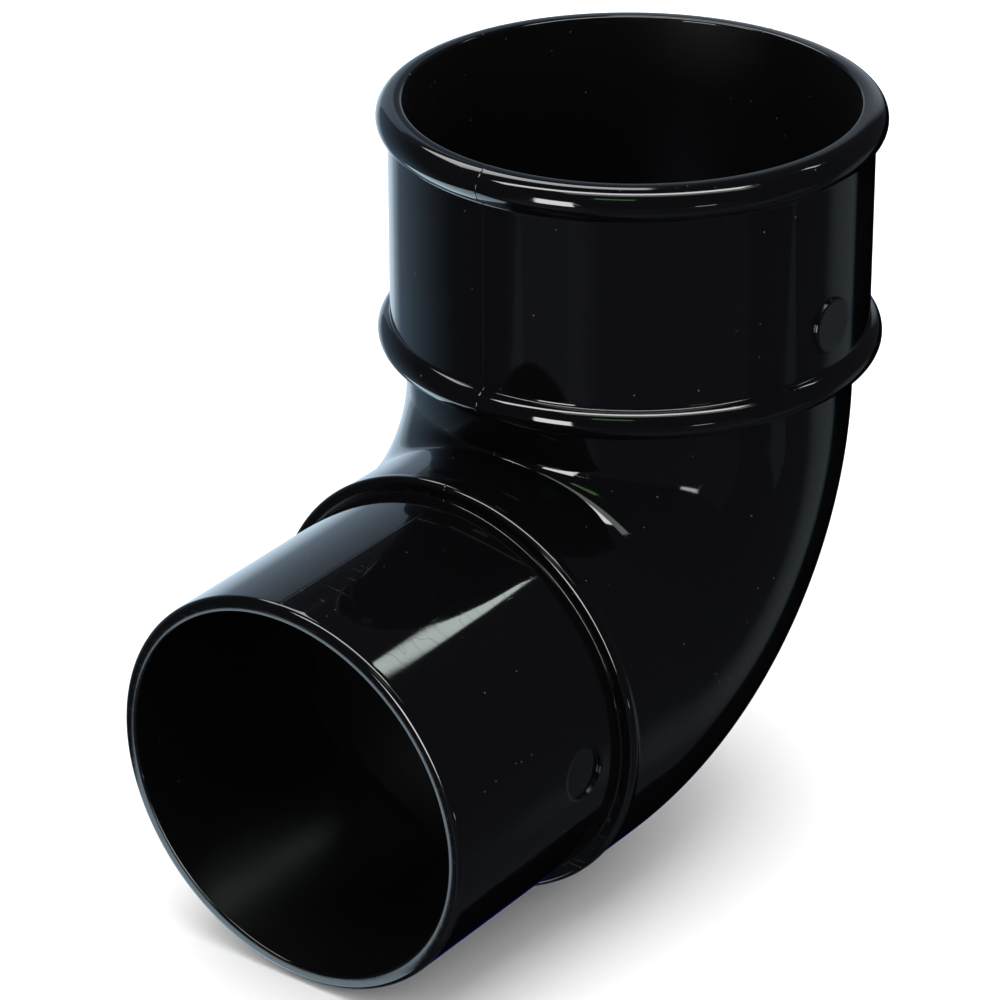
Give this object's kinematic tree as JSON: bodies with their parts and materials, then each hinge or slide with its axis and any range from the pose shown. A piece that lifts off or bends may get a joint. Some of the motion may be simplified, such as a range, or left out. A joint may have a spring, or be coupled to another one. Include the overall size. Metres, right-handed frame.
{
  "type": "downpipe bend",
  "caption": "Right-angled bend for round rainwater pipe: a beaded socket takes the pipe above, and a collared spigot goes into the pipe below.",
  "frame": {"origin": "on the socket's axis, in the plane of the ledge that stops the pipe", "axes": "+Z along the socket's axis towards its mouth, the spigot points to -Y and 2.5 degrees down, and X = 0 is the plane of symmetry"},
  "size_m": [0.0772, 0.1234, 0.1149],
  "materials": {
    "black_pvc": "gloss black rigid PVC as it leaves a polished mould"
  },
  "bodies": {
    "root": {"downpipe_bend": "black_pvc"}
  },
  "joints": []
}
